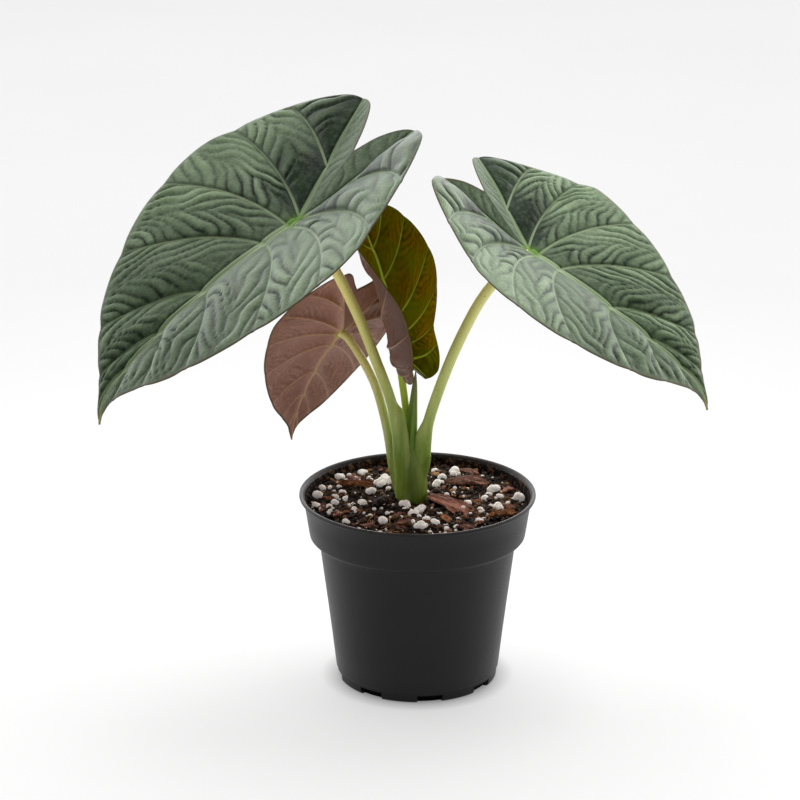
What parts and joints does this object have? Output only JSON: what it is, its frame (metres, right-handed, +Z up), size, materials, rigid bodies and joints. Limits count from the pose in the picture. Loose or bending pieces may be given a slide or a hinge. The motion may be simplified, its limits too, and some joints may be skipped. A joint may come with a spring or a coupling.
{
  "type": "potted shield-leaf aroid house plant",
  "caption": "Leafy house plant with quilted shield-shaped blades on arching stalks, standing in a tapered round nursery pot filled with a bark and perlite mix.",
  "frame": {"origin": "middle of the pot's flat underside", "axes": "+Z up, -Y towards the side that the picture shows, +X to that view's right"},
  "size_m": [0.299, 0.1676, 0.2973],
  "materials": {
    "pot_plastic": "satin black moulded plastic",
    "soil": "dark brown crumbly peat with fibres",
    "stalk": "satin yellow-green plant stalk with fine darker flecks",
    "leaf": "grey-green quilted leaf with a soft waxy sheen",
    "leaf_underside": "mauve-brown leaf underside with yellow-green ribs",
    "young_leaf": "olive and bronze young leaf with light green veins",
    "bark": "rough red-brown bark",
    "perlite": "chalky off-white grain"
  },
  "bodies": {
    "root": {"pot": "pot_plastic", "soil": "soil", "stem": "stalk", "spear": "stalk", "petiole_1": "stalk", "petiole_2": "stalk", "petiole_3": "stalk", "petiole_4": "stalk", "blade_1": "leaf", "blade_2": "leaf", "blade_3": "leaf_underside", "blade_4": "young_leaf", "bark_1": "bark", "bark_2": "bark", "bark_3": "bark", "bark_4": "bark", "bark_5": "bark", "perlite_1": "perlite", "perlite_2": "perlite", "perlite_3": "perlite", "perlite_4": "perlite", "perlite_5": "perlite", "perlite_6": "perlite", "perlite_7": "perlite", "perlite_8": "perlite", "perlite_9": "perlite", "perlite_10": "perlite", "perlite_11": "perlite", "perlite_12": "perlite", "perlite_13": "perlite", "perlite_14": "perlite"}
  },
  "joints": []
}
